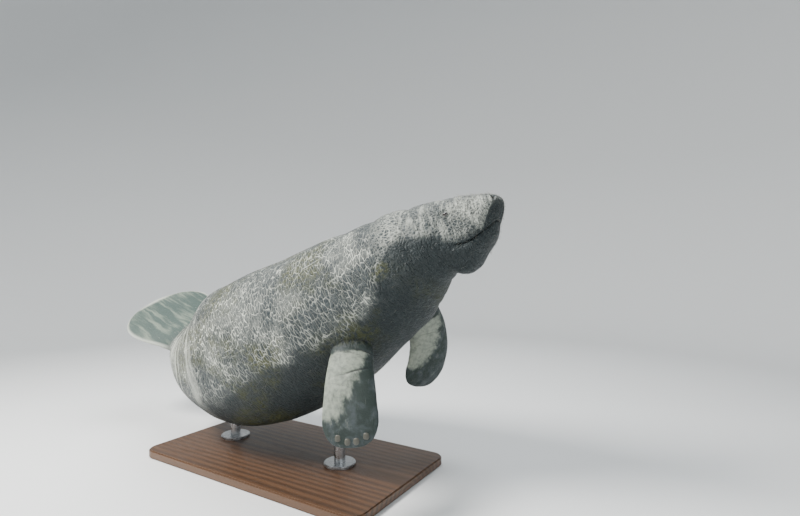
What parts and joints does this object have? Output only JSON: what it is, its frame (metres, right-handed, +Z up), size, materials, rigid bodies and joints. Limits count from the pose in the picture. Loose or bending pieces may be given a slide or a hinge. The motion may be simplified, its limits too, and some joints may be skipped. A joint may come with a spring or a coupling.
{
  "type": "manatee display model",
  "caption": "Life-size still model of a swimming manatee with its nose raised, paddle tail flexed up and flippers down, held over a flat base by short rods.",
  "frame": {"origin": "middle of the underside of the stand's base, on the floor", "axes": "+Z up, +X the way the animal's body heads, +Y its left"},
  "size_m": [2.5211, 0.8525, 1.261],
  "materials": {
    "skin": "thick matt grey hide with pale creases, olive algae stains on the back and a darker underside",
    "eye": "wet, dark brown, glossy",
    "nail": "worn horn, pale grey-brown",
    "stand_wood": "oiled dark hardwood board, satin",
    "stand_steel": "brushed along the rods, satin"
  },
  "bodies": {
    "root": {"abdomen": "skin", "chest": "skin", "eye_left": "eye", "eye_right": "eye", "flipper_left": "skin", "flipper_right": "skin", "head": "skin", "nail_left_1": "nail", "nail_left_2": "nail", "nail_left_3": "nail", "nail_left_4": "nail", "nail_right_1": "nail", "nail_right_2": "nail", "nail_right_3": "nail", "nail_right_4": "nail", "neck": "skin", "stand_base": "stand_wood", "stand_foot_front": "stand_steel", "stand_foot_rear": "stand_steel", "stand_rod_front": "stand_steel", "stand_rod_rear": "stand_steel", "tail_paddle": "skin", "tail_stock": "skin"}
  },
  "joints": []
}
